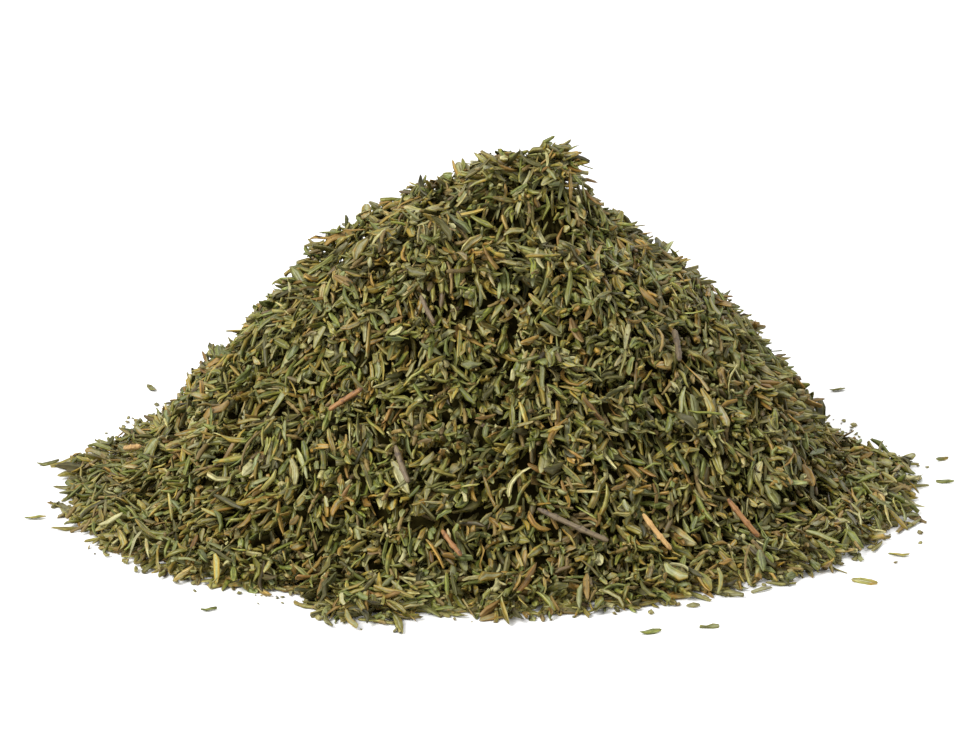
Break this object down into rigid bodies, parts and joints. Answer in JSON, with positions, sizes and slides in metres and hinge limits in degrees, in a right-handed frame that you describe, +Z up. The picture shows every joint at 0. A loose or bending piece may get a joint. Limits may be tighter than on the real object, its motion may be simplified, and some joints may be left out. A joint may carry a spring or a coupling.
{
  "type": "dried thyme heap",
  "caption": "Loose cone-shaped heap of rubbed dried thyme leaves with bits of stem on its slopes and stray leaves round its foot, resting on a flat base.",
  "frame": {"origin": "on the flat surface the heap lies on, under the middle of the heap", "axes": "+Z up, +X to the right along the heap's longest side, -Y towards the front"},
  "size_m": [0.1944, 0.1847, 0.0731],
  "materials": {
    "leaf": "matt dried leaf, olive green to khaki, paler underneath",
    "stray_leaf": "matt dried leaf, olive green",
    "russet_stem": "dry ribbed stem, red-brown",
    "dun_stem": "dry ribbed stem, purplish grey-brown",
    "straw_stem": "split stem, pale straw inside"
  },
  "bodies": {
    "root": {"leaf_heap": "leaf", "stem_1": "russet_stem", "stem_2": "dun_stem", "stem_3": "dun_stem", "stem_4": "russet_stem", "stem_5": "straw_stem", "stem_6": "russet_stem", "stem_7": "dun_stem", "stem_8": "straw_stem", "stem_9": "dun_stem", "stem_10": "dun_stem", "stem_11": "russet_stem", "stem_12": "straw_stem", "stray_leaf_1": "stray_leaf", "stray_leaf_2": "stray_leaf", "stray_leaf_3": "stray_leaf", "stray_leaf_4": "stray_leaf", "stray_leaf_5": "stray_leaf", "stray_leaf_6": "stray_leaf", "stray_leaf_7": "stray_leaf", "stray_leaf_8": "stray_leaf", "stray_leaf_9": "stray_leaf", "stray_leaf_10": "stray_leaf", "stray_leaf_11": "stray_leaf", "stray_leaf_12": "stray_leaf", "stray_leaf_13": "stray_leaf"}
  },
  "joints": []
}
